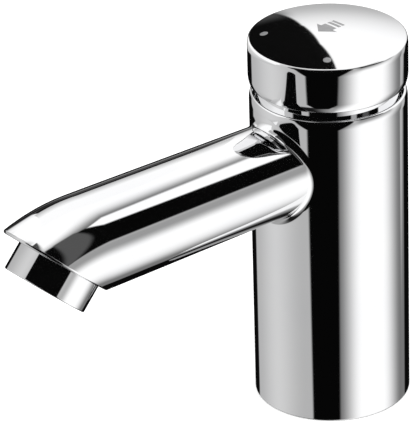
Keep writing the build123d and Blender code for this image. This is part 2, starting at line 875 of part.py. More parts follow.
def aerator_insert():
    """Moulded jet former: a cup with a ledge inside, whose floor is a honeycomb of fine cells."""
    floor = aerator_lip_base - insert_grille_thickness
    cup = disc(insert_radius, thread_end, aerator_lip_base)
    cup -= disc(insert_bore_radius, thread_end - overrun, insert_ledge)
    cup -= disc(insert_bore_radius - insert_ledge_width, insert_ledge - overrun, floor)
    grille = extrude(Sketch() + grille_cells(), insert_grille_thickness + overrun * 2)
    return outlet_plane * (cup - Pos(0, 0, floor - overrun) * grille)


def flow_limiter():
    """Disc on the insert's ledge whose small holes hold the flow down."""
    base = insert_ledge - limiter_height
    body = disc(insert_bore_radius - fit_clearance, base, insert_ledge)
    hole = disc(limiter_hole_diameter / 2, base - overrun, insert_ledge + overrun)
    for jet in around(limiter_hole_count, Pos(limiter_hole_circle_radius, 0, 0) * hole):
        body -= jet
    return outlet_plane * body


def aerator_screen():
    """Thin domed strainer that sits on the flow limiter, its crown towards the water."""
    radius = insert_bore_radius - fit_clearance
    crown = radius * screen_crown_share
    base = insert_ledge - limiter_height
    outline = Polyline(
        (radius, base),
        (crown, base - screen_height),
        (0, base - screen_height),
        (0, base - screen_height + screen_wall),
        (crown - screen_wall, base - screen_height + screen_wall),
        (radius - screen_wall * 2, base),
        close=True,
    )
    return outlet_plane * revolve(Plane.XZ * make_face(outline), Axis.Z)


fixed_pieces = [
    body_casting,
    inlet_manifold,
    base_seal,
    manifold_o_ring,
    port_seals,
    cartridge_housing,
    cartridge_o_rings,
    fixed_disc,
    retaining_ring,
    temperature_stop,
    gap_collar,
    aerator_housing,
    aerator_washer,
    aerator_insert,
    flow_limiter,
    aerator_screen,
]
turning_pieces = [
    mixing_disc,
    mixing_sleeve,
    timing_floor,
    spindle_head,
    head_o_ring,
    return_spring,
    push_cap,
    hot_mark,
    cold_mark,
    cap_grub_screw,
    push_rod,
    valve_seal,
    valve_disc,
    valve_nut,
    piston,
    piston_seal,
    piston_clips,
]

os.makedirs("parts", exist_ok=True)
for make in fixed_pieces:
    export_step(make(), f"parts/{make.__name__}.step")
for make in turning_pieces:
    export_step(Rot(0, 0, rest_turn_angle) * make(), f"parts/{make.__name__}.step")
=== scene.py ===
# %% [markdown]
# # A push timed basin tap
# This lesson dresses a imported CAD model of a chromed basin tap. The CAD model is the frame: its pieces
# already sit where they belong and already move. Here each visible piece gets the smooth skin and the
# finish of the real one. All places are in the CAD model's own frame, with +Z up and the spout along -Y.

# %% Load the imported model
import bpy
import bmesh
import json
import math
from mathutils import Matrix, Vector, geometry, kdtree


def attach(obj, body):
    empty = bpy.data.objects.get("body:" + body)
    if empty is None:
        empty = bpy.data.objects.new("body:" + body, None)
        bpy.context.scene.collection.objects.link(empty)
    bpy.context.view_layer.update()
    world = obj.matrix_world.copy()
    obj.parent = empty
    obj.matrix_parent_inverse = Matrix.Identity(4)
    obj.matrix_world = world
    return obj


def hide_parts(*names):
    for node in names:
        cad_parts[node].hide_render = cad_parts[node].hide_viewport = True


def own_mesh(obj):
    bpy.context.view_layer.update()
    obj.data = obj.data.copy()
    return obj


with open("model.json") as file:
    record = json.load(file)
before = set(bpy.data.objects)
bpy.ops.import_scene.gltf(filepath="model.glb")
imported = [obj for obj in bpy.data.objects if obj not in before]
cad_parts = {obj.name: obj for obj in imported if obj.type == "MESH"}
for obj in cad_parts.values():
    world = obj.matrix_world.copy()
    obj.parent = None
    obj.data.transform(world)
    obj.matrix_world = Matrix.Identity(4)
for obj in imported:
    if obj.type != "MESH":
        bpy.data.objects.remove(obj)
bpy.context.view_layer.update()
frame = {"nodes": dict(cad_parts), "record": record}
mm = 0.001

# %% [markdown]
# ## Camera
# The photograph was taken from far off with a long lens, from the right and above. The camera's place was
# solved from the tap's own outlines, so its three directions are given as vectors.

# %% Camera
def add_object(name, data):
    """A new object, linked to the scene so that it takes part in it."""
    made = bpy.data.objects.new(name, data)
    bpy.context.scene.collection.objects.link(made)
    return made


camera_place = Vector((863.469, -723.328, 642.633)) * mm
camera_right = Vector((0.6268703, 0.7786695, -0.0265991))
camera_up = Vector((-0.3427798, 0.3062925, 0.8880805))
camera_back = camera_right.cross(camera_up)
camera = add_object("camera", bpy.data.cameras.new("camera"))
camera_turn = Matrix((camera_right, camera_up, camera_back)).transposed().to_4x4()
camera.matrix_world = Matrix.Translation(camera_place) @ camera_turn
camera.data.sensor_width = 36.0
camera.data.lens = 352.05
camera.data.clip_start = 0.05
bpy.context.scene.camera = camera
print("camera", round(camera_place.length, 3), "m away, lens", camera.data.lens, "mm")

# %% [markdown]
# ## A helper for node trees
# Materials, the world and Geometry Nodes are all trees of nodes. One small helper adds a node, sets its
# options, and either links or fills its inputs.

# %% Node helper
def add_node(tree, kind, inputs=None, **options):
    node = tree.nodes.new(kind)
    for option, value in options.items():
        setattr(node, option, value)
    for socket, value in (inputs or {}).items():
        if isinstance(value, bpy.types.NodeSocket):
            tree.links.new(value, node.inputs[socket])
        else:
            node.inputs[socket].default_value = value
    return node


def math_node(tree, operation, *values):
    return add_node(tree, "ShaderNodeMath", dict(enumerate(values)), operation=operation).outputs[0]


# %% [markdown]
# ## Finishes
# Each finish is a Principled shader with noise at the scale of the real surface. A pattern reads Object
# coordinates, which are metres here, so a noise scale of 1000 has features about a millimetre wide. Most
# of a noise lies in the middle of its range, and that middle is spread over the roughness or the colour.

# %% Start a finish
pattern_start = 0.3
pattern_end = 0.7


def new_finish(name, colour, roughness, metallic=0.0):
    material = bpy.data.materials.new(name)
    material.use_nodes = True
    material.diffuse_color = (*colour, 1.0)
    tree = material.node_tree
    shader = tree.nodes["Principled BSDF"]
    shader.inputs["Base Color"].default_value = (*colour, 1.0)
    shader.inputs["Roughness"].default_value = roughness
    shader.inputs["Metallic"].default_value = metallic
    place = add_node(tree, "ShaderNodeTexCoord").outputs["Object"]
    print("finish", name)
    return material, tree, shader, place


# %% A pattern and its range
def noise(tree, place, scale, detail=3.0, stretch=(1.0, 1.0, 1.0)):
    stretched = add_node(tree, "ShaderNodeMapping", {"Vector": place, "Scale": stretch})
    wanted = {"Vector": stretched.outputs[0], "Scale": scale, "Detail": detail}
    return add_node(tree, "ShaderNodeTexNoise", wanted).outputs["Fac"]


def spread(tree, value, start, end, low, high, **options):
    """Maps a value's range from start to end onto the range from low to high."""
    wanted = {"Value": value, "From Min": start, "From Max": end, "To Min": low, "To Max": high}
    return add_node(tree, "ShaderNodeMapRange", wanted, **options).outputs[0]


# %% Let a pattern change the roughness, the colour or the relief
def vary_roughness(tree, shader, pattern, low, high):
    roughness = spread(tree, pattern, pattern_start, pattern_end, low, high)
    tree.links.new(roughness, shader.inputs["Roughness"])


def vary_colour(tree, shader, pattern, dark, light):
    ramp = add_node(tree, "ShaderNodeValToRGB", {"Fac": pattern})
    for k, (position, colour) in enumerate(((pattern_start, dark), (pattern_end, light))):
        ramp.color_ramp.elements[k].position = position
        ramp.color_ramp.elements[k].color = (*colour, 1.0)
    tree.links.new(ramp.outputs["Color"], shader.inputs["Base Color"])


def relief(tree, shader, height, depth):
    bump = add_node(tree, "ShaderNodeBump", {"Height": height, "Distance": depth, "Strength": 1.0})
    tree.links.new(bump.outputs[0], shader.inputs["Normal"])


# %% [markdown]
# Chrome plate is a mirror. Under close light it shows faint smudges and the last traces of polishing, so
# its roughness and its tint vary a little and a very shallow relief breaks up the highlights.

# %% Chrome plate
chrome, tree, shader, place = new_finish("chrome_plate", (0.88, 0.88, 0.89), 0.03, 1.0)
smudges = noise(tree, place, 45.0, 5.0)
vary_roughness(tree, shader, smudges, 0.022, 0.05)
vary_colour(tree, shader, smudges, (0.865, 0.868, 0.88), (0.895, 0.895, 0.897))
relief(tree, shader, noise(tree, place, 260.0, 2.0), 0.0000006)

# %% [markdown]
# The inside pieces are turned brass, drawn steel, moulded plastic, lapped ceramic and rubber. Turned metal
# keeps rings from the cutting tool round its axis, moulded plastic has a fine grain, and rubber is matt
# with a bloom that lightens it in places.

# %% Turned brass
brass, tree, shader, place = new_finish("turned_brass", (0.72, 0.55, 0.29), 0.3, 1.0)
rings = add_node(
    tree,
    "ShaderNodeTexWave",
    {"Vector": place, "Scale": 900.0, "Distortion": 0.6, "Detail": 2.0},
    wave_type="RINGS",
    rings_direction="Z",
).outputs["Fac"]
vary_roughness(tree, shader, noise(tree, place, 220.0), 0.22, 0.4)
vary_colour(tree, shader, noise(tree, place, 120.0, 5.0), (0.62, 0.45, 0.21), (0.79, 0.62, 0.35))
relief(tree, shader, rings, 0.000004)

# %% Drawn steel
steel, tree, shader, place = new_finish("drawn_steel", (0.58, 0.58, 0.57), 0.28, 1.0)
drawn = noise(tree, place, 900.0, 4.0, (1.0, 1.0, 0.06))
vary_roughness(tree, shader, drawn, 0.2, 0.38)
vary_colour(tree, shader, drawn, (0.5, 0.5, 0.49), (0.66, 0.66, 0.65))
relief(tree, shader, drawn, 0.000003)

# %% Moulded plastics
plastics = []
for name, colour, smoothest, mottle, dark, light in (
    ("white_acetal", (0.82, 0.82, 0.79), 0.38, 150.0, (0.79, 0.79, 0.755), (0.845, 0.845, 0.82)),
    ("grey_acetal", (0.33, 0.34, 0.35), 0.36, 200.0, (0.29, 0.3, 0.31), (0.37, 0.38, 0.39)),
):
    plastic, tree, shader, place = new_finish(name, colour, 0.45)
    grain = noise(tree, place, 1500.0)
    vary_roughness(tree, shader, grain, smoothest, 0.52)
    vary_colour(tree, shader, noise(tree, place, mottle), dark, light)
    relief(tree, shader, grain, 0.000008)
    plastics.append(plastic)

# %% Lapped ceramic
ceramic, tree, shader, place = new_finish("lapped_ceramic", (0.9, 0.89, 0.86), 0.16)
speckle = noise(tree, place, 3000.0, 2.0)
vary_roughness(tree, shader, speckle, 0.12, 0.2)
vary_colour(tree, shader, speckle, (0.87, 0.86, 0.82), (0.93, 0.92, 0.895))

# %% Rubber of the seals
rubber, tree, shader, place = new_finish("nitrile_rubber", (0.035, 0.035, 0.037), 0.7)
bloom = noise(tree, place, 300.0, 6.0)
vary_roughness(tree, shader, bloom, 0.58, 0.82)
vary_colour(tree, shader, bloom, (0.024, 0.024, 0.026), (0.055, 0.055, 0.057))
relief(tree, shader, noise(tree, place, 1800.0, 4.0), 0.00001)

# %% Enamel of the marks
enamel, tree, shader, place = new_finish("inlaid_enamel", (0.25, 0.25, 0.255), 0.3)
shader.inputs["Coat Weight"].default_value = 0.5
shader.inputs["Coat Roughness"].default_value = 0.08
flow = noise(tree, place, 700.0)
vary_colour(tree, shader, flow, (0.22, 0.22, 0.225), (0.28, 0.28, 0.285))
relief(tree, shader, flow, 0.00001)

# %% A finish for each material slot
finishes = {
    "chromed_brass": chrome,
    "raw_brass": brass,
    "stainless_steel": steel,
    "white_plastic": plastics[0],
    "grey_plastic": plastics[1],
    "ceramic": ceramic,
    "seal_rubber": rubber,
    "mark_enamel": enamel,
}
print("finishes:", ", ".join(material.name for material in finishes.values()))

# %% [markdown]
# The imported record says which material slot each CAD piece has. Every piece that is kept as it came gets
# the finish of its slot, also the ones that are hidden inside.

# %% Dress the CAD pieces
for part in frame["record"]["subparts"]:
    mesh = frame["nodes"][part["node"]].data
    mesh.materials.clear()
    mesh.materials.append(finishes[part["material_slot"]])

# %% [markdown]
# ## Keeping a finished piece
# A finished mesh becomes an object at the origin. It rides on its CAD body, takes its finish from a slot
# of the record, and stands for the CAD piece that it replaces.

# %% Keep a piece
def keep_piece(name, mesh, body, slot, *nodes):
    piece = add_object(name, mesh)
    if not mesh.materials:
        mesh.materials.append(finishes[slot])
    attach(piece, body)
    if nodes:
        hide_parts(*nodes)
    triangles = sum(len(polygon.vertices) - 2 for polygon in mesh.polygons)
    print("piece", name, "with", triangles, "triangles")
    return piece


def mesh_of(name, shape):
    """Turns a bmesh in millimetres into a mesh in metres, with its faces outwards."""
    bmesh.ops.remove_doubles(shape, verts=shape.verts, dist=0.00005)
    bmesh.ops.recalc_face_normals(shape, faces=shape.faces)
    bmesh.ops.scale(shape, vec=(mm, mm, mm), verts=shape.verts)
    mesh = bpy.data.meshes.new(name)
    shape.to_mesh(mesh)
    shape.free()
    mesh.shade_smooth()
    return mesh


# %% [markdown]
# ## The column and spout as one skin
# Column and spout are one polished casting, and a mirror shows every wrong normal. The skin is therefore
# worked out point by point. Each part of it knows its exact normal: the upright column, the round spout
# with its bend, the small fillet where the two meet, and the rounded lip at the outlet.

# %% Sizes of the casting, in millimetres
column_radius = 24.0
column_height = 102.0
spout_height = 81.9
spout_root_radius = 14.4
spout_straight = 94.0
spout_swell_rate = 0.8 / spout_straight
spout_ease = 20.0
bend_radius = 49.4
bend_angle = math.radians(34.0)
junction_round = 3.0
lip_round = 0.7
outlet_tilt = math.radians(41.3)
outlet_centre = Vector((0.0, -102.8, 78.4))
outlet_way = Vector((0.0, -math.sin(outlet_tilt), -math.cos(outlet_tilt)))
column_steps = 192
spout_steps = 192

# %% [markdown]
# Polishing softens the edges of a turned casting. The side first eases inwards on a wide arc, and a small
# round then leads it into the flat face. The bands that the side mirrors bend round where the easing starts.

# %% Softened edge
def soft_edge(ease_radius, ease_angle, small_radius, last_angle=math.pi / 2, steps=8):
    """Points of an edge as (inset, rise, tilt of the normal), counted from where the side ends."""
    points = [
        (ease_radius * (1 - math.cos(tilt)), ease_radius * math.sin(tilt), tilt)
        for tilt in (ease_angle * step / steps for step in range(steps))
    ]
    inset = ease_radius * (1 - math.cos(ease_angle))
    rise = ease_radius * math.sin(ease_angle)
    for step in range(steps + 1):
        tilt = ease_angle + (last_angle - ease_angle) * step / steps
        inwards = small_radius * (math.cos(ease_angle) - math.cos(tilt))
        upwards = small_radius * (math.sin(tilt) - math.sin(ease_angle))
        points.append((inset + inwards, rise + upwards, tilt))
    return points


column_top_edge = soft_edge(7.0, math.radians(18.0), 0.8)
column_base_edge = soft_edge(0.4, math.radians(45.0), 0.4)
print("column edges ease over", round(column_top_edge[-1][1], 2), "and", round(column_base_edge[-1][1], 2))

# %% The spout's centre line, radius and normals
def spout_radius(along):
    """The spout swells evenly, and the swell dies out over the start of the bend."""
    start = spout_straight - spout_ease
    end = spout_straight + spout_ease
    if along <= start:
        return spout_root_radius + spout_swell_rate * along
    eased = min(along, end) - start
    return spout_root_radius + spout_swell_rate * (start + eased - eased**2 / (4 * spout_ease))


def spout_slope(along):
    start = spout_straight - spout_ease
    share = min(max((along - start) / (2 * spout_ease), 0.0), 1.0)
    return spout_swell_rate * (1.0 - share)


def spout_point(along, turn, inset=0.0):
    """A point of the spout's skin and its normal, at a distance along it and a turn round it."""
    bend = max(along - spout_straight, 0.0) / bend_radius
    run = min(along, spout_straight)
    drop = bend_radius * (1.0 - math.cos(bend))
    centre = Vector((0.0, -run - bend_radius * math.sin(bend), spout_height - drop))
    ahead = Vector((0.0, -math.cos(bend), -math.sin(bend)))
    above = Vector((0.0, -math.sin(bend), math.cos(bend)))
    out = Vector((math.cos(turn), 0.0, 0.0)) + above * math.sin(turn)
    normal = (out - ahead * spout_slope(along)).normalized()
    return centre + out * spout_radius(along) - normal * inset, normal


# %% [markdown]
# A fillet is what a ball leaves when it rolls along both surfaces. For each turn round the spout the ball's
# centre is found first. The fillet is then the arc on the ball between its two points of touch.

# %% An arc on a ball
def swung(first, last, share):
    """A point part of the way from one radius to another on their circle."""
    angle = first.angle(last)
    return (first * math.sin((1 - share) * angle) + last * math.sin(share * angle)) / math.sin(angle)


def arc_between(centre, first, last, radius, steps):
    """Points and outward normals on a ball from one direction to another."""
    ways = [swung(first, last, step / steps) for step in range(steps + 1)]
    return [(centre + way * radius, way) for way in ways]


# %% Rolling ball at the column
def junction_arc(turn, steps):
    """The fillet from the column to the spout at one turn. Its ball rolls outside the metal."""
    lean = math.atan(spout_swell_rate)
    ball = junction_round
    ahead, out = ball * math.sin(lean), ball * math.cos(lean)
    y = -column_radius
    for _ in range(12):
        reach = spout_root_radius + spout_swell_rate * (-y + ahead) + out
        y = -math.sqrt((column_radius + ball) ** 2 - (reach * math.cos(turn)) ** 2)
    centre = Vector((reach * math.cos(turn), y, spout_height + reach * math.sin(turn)))
    column_way = Vector((centre.x, centre.y, 0.0)).normalized()
    along = -y + ahead
    spout_way = spout_point(along, turn)[1]
    points = arc_between(centre, -column_way, -spout_way, ball, steps)
    return [(point, -way) for point, way in points], along


# %% Rolling ball at the outlet's lip
def along_to_outlet(turn, inset, depth, before):
    """How far along the spout a line under its skin comes to a depth inside the outlet's face."""
    low, high = spout_straight - before, spout_straight + bend_radius * bend_angle + 5.0
    for _ in range(50):
        along = (low + high) / 2
        if (spout_point(along, turn, inset)[0] - outlet_centre).dot(outlet_way) < -depth:
            low = along
        else:
            high = along
    return along


def lip_arc(turn, steps):
    """The rounded edge of the outlet at one turn. Its ball lies inside the metal."""
    along = along_to_outlet(turn, lip_round, lip_round, 20.0)
    centre, normal = spout_point(along, turn, lip_round)
    return arc_between(centre, normal, outlet_way, lip_round, steps), along


# %% Rows of the spout's skin, from the column to the outlet's face
junction_steps = 12
lip_steps = 8
spout_rows = 84
turns = [math.tau * step / spout_steps for step in range(spout_steps)]
skin_columns = []
for turn in turns:
    junction, start = junction_arc(turn, junction_steps)
    lip, end = lip_arc(turn, lip_steps)
    tube = [
        spout_point(start + (end - start) * row / spout_rows, turn) for row in range(1, spout_rows)
    ]
    skin_columns.append(junction + tube + lip)
print("spout skin:", len(skin_columns), "columns of", len(skin_columns[0]), "points")

# %% [markdown]
# The column's side is a sheet rolled into a tube. Laid flat it is a rectangle with one round hole where the
# fillet begins. A constrained Delaunay triangulation fills the flat rectangle round that hole, and each
# point is then rolled back onto the cylinder, so that every vertex lies exactly on it.

# %% The column's side with the hole for the spout
hole = [column[0][0] for column in skin_columns]
flat_hole = [Vector((math.atan2(p.x, -p.y) * column_radius, p.z)) for p in hole]
side_low = column_base_edge[-1][1]
side_high = column_height - column_top_edge[-1][1]
side_rows = 16
side_levels = [side_low + (side_high - side_low) * k / side_rows for k in range(side_rows)]
side_levels.append(side_high)
flat_width = math.tau * column_radius
flat_step = flat_width / column_steps
clear_of_hole = 0.6
rounding_slack = 0.02
flat_points = list(flat_hole)
flat_edges = [(k, (k + 1) % len(hole)) for k in range(len(hole))]


def inside_hole(point, margin):
    """Whether a flat point lies in the hole or within a margin of its edge."""
    away = Vector((point.x, point.y - spout_height))
    turn = math.atan2(away.y, away.x) % math.tau
    nearest = flat_hole[round(turn / math.tau * len(flat_hole)) % len(flat_hole)]
    return away.length < (nearest - Vector((0.0, spout_height))).length + margin


for column in range(column_steps + 1):
    for level in side_levels:
        point = Vector((-flat_width / 2 + column * flat_step, level))
        if not inside_hole(point, clear_of_hole):
            flat_points.append(point)
rolled = geometry.delaunay_2d_cdt(flat_points, flat_edges, [], 0, 0.00001)
side_points = rolled[0]
side_faces = [
    face
    for face in rolled[2]
    if not inside_hole(sum((side_points[k] for k in face), Vector((0, 0))) / 3, -rounding_slack)
]
print("column side:", len(side_points), "points,", len(side_faces), "triangles")

# %% Join the skin
skin = bmesh.new()
skin_normals = []


def skin_vertex(point, normal):
    skin_normals.append((point * mm, normal))
    return skin.verts.new(point)


def skin_strip(first, second):
    count = len(first)
    for k in range(count):
        skin.faces.new((first[k], first[(k + 1) % count], second[(k + 1) % count], second[k]))


def outwards(angle):
    """The direction out of the column at an angle from the spout."""
    return Vector((math.sin(angle), -math.cos(angle), 0.0))


def rolled_point(flat):
    out = outwards(flat.x / column_radius)
    return out * column_radius + Vector((0.0, 0.0, flat.y)), out


# %% The column's side and the spout in the skin
side_vertices = [skin_vertex(*rolled_point(point)) for point in side_points]
for face in side_faces:
    skin.faces.new([side_vertices[k] for k in face])
rows = [[skin_vertex(*column[row]) for column in skin_columns] for row in range(len(skin_columns[0]))]
for first, second in zip(rows, rows[1:]):
    skin_strip(first, second)
skin.faces.new(rows[-1])

# %% The column's softened edges in the skin
def edge_rings(level, edge, upwards):
    """Rings of the column's softened top or base edge, from its side to its flat face."""
    ways = [outwards(-math.pi + math.tau * column / column_steps) for column in range(column_steps)]
    rings = []
    for inset, rise, tilt in edge:
        lift = Vector((0, 0, level + upwards * rise))
        lean = Vector((0, 0, upwards * math.sin(tilt)))
        radius = column_radius - inset
        rings.append([skin_vertex(out * radius + lift, out * math.cos(tilt) + lean) for out in ways])
    for first, second in zip(rings, rings[1:]):
        skin_strip(first, second)
    skin.faces.new(rings[-1])


edge_rings(side_high, column_top_edge, 1)
edge_rings(side_low, column_base_edge, -1)
casting_mesh = mesh_of("column_and_spout", skin)
casting_mesh.materials.append(chrome)
casting_mesh.materials.append(brass)
print("skin:", len(casting_mesh.polygons), "faces")

# %% [markdown]
# ## Hollowing the casting
# The casting is bored from below and above for the manifold and the cartridge, and a waterway runs through
# the spout to the threaded socket of the aerator. Each bore is a closed cutter, taken away with an exact
# Boolean. The cutters only cross flat faces of the skin, so its curved faces stay as they are. Cut faces
# take the cutter's second finish, because plate doesn't reach into the bores.

# %% Turned solids from an outline
def turned_solid(outline, steps=96):
    """A closed solid turned from (radius, height) points that start and end on the axis."""
    shape = bmesh.new()
    rings = []
    circle = [(math.cos(math.tau * k / steps), math.sin(math.tau * k / steps)) for k in range(steps)]
    for radius, height in outline:
        if radius == 0:
            rings.append([shape.verts.new((0.0, 0.0, height))] * steps)
        else:
            rings.append([shape.verts.new((radius * x, radius * y, height)) for x, y in circle])
    for first, second in zip(rings, rings[1:]):
        for k in range(steps):
            corners = [first[k], first[(k + 1) % steps], second[(k + 1) % steps], second[k]]
            corners = [corner for n, corner in enumerate(corners) if corner not in corners[:n]]
            if len(corners) > 2:
                shape.faces.new(corners)
    return shape


def facing(origin, axis):
    """The place of a turned solid whose axis points another way."""
    return Matrix.Translation(origin) @ axis.to_track_quat("Z", "Y").to_matrix().to_4x4()


# %% The hollow of the spout
def waterway(wall, start, depth, rows=48, steps=96):
    """The hollow of the spout, from near the column to a depth inside the outlet's face."""
    shape = bmesh.new()
    columns = []
    for k in range(steps):
        turn = math.tau * k / steps
        end = along_to_outlet(turn, wall, depth, 30.0)
        places = [start + (end - start) * row / rows for row in range(rows + 1)]
        columns.append([shape.verts.new(spout_point(place, turn, wall)[0]) for place in places])
    for first, second in zip(columns, columns[1:] + columns[:1]):
        for row in range(rows):
            shape.faces.new((first[row], first[row + 1], second[row + 1], second[row]))
    for end in (0, -1):
        shape.faces.new([column[end] for column in columns])
    return shape


# %% Cut with a closed solid
def cutter_mesh(shape, place=Matrix()):
    bmesh.ops.transform(shape, matrix=place, verts=shape.verts)
    mesh = mesh_of("cutter", shape)
    mesh.materials.append(chrome)
    mesh.materials.append(brass)
    for polygon in mesh.polygons:
        polygon.material_index = 1
    return mesh


def evaluated_mesh(holder):
    """A new mesh with what an object's modifiers make of its own."""
    bpy.context.view_layer.update()
    depsgraph = bpy.context.evaluated_depsgraph_get()
    return bpy.data.meshes.new_from_object(holder.evaluated_get(depsgraph))


def cut(mesh, cutters):
    """A mesh less some cutters, one after another."""
    holder = add_object("holder", mesh)
    tool = add_object("tool", cutters[0])
    for cutter in cutters:
        tool.data = cutter
        modifier = holder.modifiers.new("cut", "BOOLEAN")
        modifier.object = tool
        modifier.operation = "DIFFERENCE"
        modifier.solver = "EXACT"
        modifier.material_mode = "INDEX"
        result = evaluated_mesh(holder)
        holder.modifiers.remove(modifier)
        holder.data = result
    for extra in (holder, tool):
        bpy.data.objects.remove(extra)
    result.set_sharp_from_angle(angle=math.radians(30.0))
    return result


# %% Bore the casting
bores = turned_solid(
    [(0, -2), (20.5, -2), (20.5, 36), (16.5, 36), (16.5, 88), (18, 88), (18, 104), (0, 104)], 128
)
socket = turned_solid([(0, -13), (10, -13), (10, -9), (12, -9), (12, 2), (0, 2)])
port = turned_solid([(0, 0), (6, 0), (6, 24), (0, 24)], 64)
casting_mesh = cut(
    casting_mesh,
    [
        cutter_mesh(bores),
        cutter_mesh(waterway(3.0, 21.0, 11.0)),
        cutter_mesh(socket, facing(outlet_centre, outlet_way)),
        cutter_mesh(port, facing(Vector((0, 0, 79)), Vector((0, -1, 0)))),
    ],
)
print("bored casting:", len(casting_mesh.polygons), "faces")

# %% [markdown]
# After cutting, the skin's exact normals go back on. A k-d tree finds, for every corner of a plated face,
# the skin point that it came from. Corners that the cut made lie on flat faces and keep the face's own
# normal, and the bores keep the normals that Blender works out.

# %% Put the exact normals back
def restore_normals(mesh, known, reach=0.0000005):
    tree = kdtree.KDTree(len(known))
    for k, (point, _) in enumerate(known):
        tree.insert(point, k)
    tree.balance()
    found = {}
    for vertex in mesh.vertices:
        _, k, distance = tree.find(vertex.co)
        if distance < reach:
            found[vertex.index] = known[k][1]
    normals = []
    for polygon in mesh.polygons:
        plated = polygon.material_index == 0
        for corner in polygon.loop_indices:
            normal = found.get(mesh.loops[corner].vertex_index, polygon.normal)
            normals.append(tuple(normal) if plated else (0.0, 0.0, 0.0))
    mesh.normals_split_custom_set(normals)
    print("exact normals on", len(found), "of", len(mesh.vertices), "points")


restore_normals(casting_mesh, skin_normals)
keep_piece("column_and_spout", casting_mesh, "tap_body", "chromed_brass", "body_casting")

# %% [markdown]
# ## Turned pieces with Geometry Nodes
# The cap and the aerator's ring are turned on a lathe, so their shape follows a rule: a profile goes round
# an axis. The tree below takes a profile as a row of points. It makes a grid with one row for each point,
# looks up that point, and turns it round the axis by the column's share of a full turn.

# %% The first and the last nodes of a tree
def start_tree(name, inputs):
    """A tree with some named inputs and one output."""
    tree = bpy.data.node_groups.new(name, "GeometryNodeTree")
    for title, kind in inputs.items():
        tree.interface.new_socket(title, in_out="INPUT", socket_type="NodeSocket" + kind)
    tree.interface.new_socket("Piece", in_out="OUTPUT", socket_type="NodeSocketGeometry")
    return tree, tree.nodes.new("NodeGroupInput").outputs


def end_tree(tree, piece, finish):
    real = add_node(tree, "GeometryNodeRealizeInstances", {"Geometry": piece.outputs[0]})
    dressed = add_node(tree, "GeometryNodeSetMaterial", {"Geometry": real.outputs[0], "Material": finish})
    result = tree.nodes.new("NodeGroupOutput")
    tree.links.new(dressed.outputs[0], result.inputs["Piece"])
    print(tree.name, "tree:", len(tree.nodes), "nodes")


# %% The lathe tree
lathe, given = start_tree("lathe", {"Profile": "Geometry", "Steps round": "Int", "Finish": "Material"})
count = add_node(lathe, "GeometryNodeAttributeDomainSize", {"Geometry": given["Profile"]})
columns = math_node(lathe, "ADD", given["Steps round"], 1.0)
grid = add_node(
    lathe, "GeometryNodeMeshGrid", {"Vertices X": count.outputs["Point Count"], "Vertices Y": columns}
)
index = add_node(lathe, "GeometryNodeInputIndex").outputs[0]
row = math_node(lathe, "FLOOR", math_node(lathe, "DIVIDE", math_node(lathe, "ADD", index, 0.25), columns))
column = math_node(lathe, "SUBTRACT", index, math_node(lathe, "MULTIPLY", row, columns))
looked_up = add_node(
    lathe,
    "GeometryNodeSampleIndex",
    {
        "Geometry": given["Profile"],
        "Value": add_node(lathe, "GeometryNodeInputPosition").outputs[0],
        "Index": row,
    },
    data_type="FLOAT_VECTOR",
)

# %% Turn each point round the axis, and end the lathe tree
parts = add_node(lathe, "ShaderNodeSeparateXYZ", {0: looked_up.outputs[0]}).outputs
share = math_node(lathe, "DIVIDE", column, given["Steps round"])
angle = math_node(lathe, "MULTIPLY", share, math.tau)
turned = add_node(
    lathe,
    "ShaderNodeCombineXYZ",
    {
        "X": math_node(lathe, "MULTIPLY", parts["X"], math_node(lathe, "COSINE", angle)),
        "Y": math_node(lathe, "MULTIPLY", parts["X"], math_node(lathe, "SINE", angle)),
        "Z": parts["Z"],
    },
)
placed = add_node(
    lathe, "GeometryNodeSetPosition", {"Geometry": grid.outputs["Mesh"], "Position": turned.outputs[0]}
)
closed = add_node(
    lathe, "GeometryNodeMergeByDistance", {"Geometry": placed.outputs[0], "Distance": 0.0000005}
)
end_tree(lathe, closed, given["Finish"])

# %% [markdown]
# A modifier's input is set by its socket's identifier, so a helper looks that up from the plain name. The
# evaluated result is kept as a plain mesh, and the modifier goes.

# %% Run a tree on a mesh
def grown_mesh(tree, source, settings):
    holder = add_object("holder", source)
    modifier = holder.modifiers.new("tree", "NODES")
    modifier.node_group = tree
    for item in tree.interface.items_tree:
        if item.item_type == "SOCKET" and item.in_out == "INPUT" and item.name in settings:
            modifier[item.identifier] = settings[item.name]
    mesh = evaluated_mesh(holder)
    holder.modifiers.remove(modifier)
    bpy.data.objects.remove(holder)
    return mesh


# %% Round the corners of an outline
def rounded_outline(corners, support=0.06, steps=6):
    """Points of an outline in millimetres. A corner is (radius, height, rounding)."""
    points = []
    for k, (x, y, rounding) in enumerate(corners):
        here = Vector((x, y))
        if rounding == 0 or k in (0, len(corners) - 1):
            points.append(here)
            continue
        before = (Vector(corners[k - 1][:2]) - here).normalized()
        after = (Vector(corners[k + 1][:2]) - here).normalized()
        half = before.angle(after) / 2
        reach = rounding / math.tan(half)
        centre = here + (before + after).normalized() * rounding / math.sin(half)
        first = here + before * reach - centre
        last = here + after * reach - centre
        points.append(centre + first + before * support)
        points += [centre + swung(first, last, step / steps) for step in range(steps + 1)]
        points.append(centre + last + after * support)
    return points


# %% Turn an outline on the lathe
def turned_mesh(name, outline, finish, steps=192, place=Matrix()):
    """Runs the lathe tree on an outline of (radius, height) points in millimetres."""
    profile = bpy.data.meshes.new(name)
    profile.from_pydata([(x * mm, 0.0, z * mm) for x, z in outline], [], [])
    mesh = grown_mesh(lathe, profile, {"Steps round": steps, "Finish": finish})
    shape = bmesh.new()
    shape.from_mesh(mesh)
    bmesh.ops.recalc_face_normals(shape, faces=shape.faces)
    bmesh.ops.transform(shape, matrix=place, verts=shape.verts)
    shape.to_mesh(mesh)
    shape.free()
    mesh.shade_smooth()
    mesh.set_sharp_from_angle(angle=math.radians(30.0))
    mesh.name = name
    return mesh


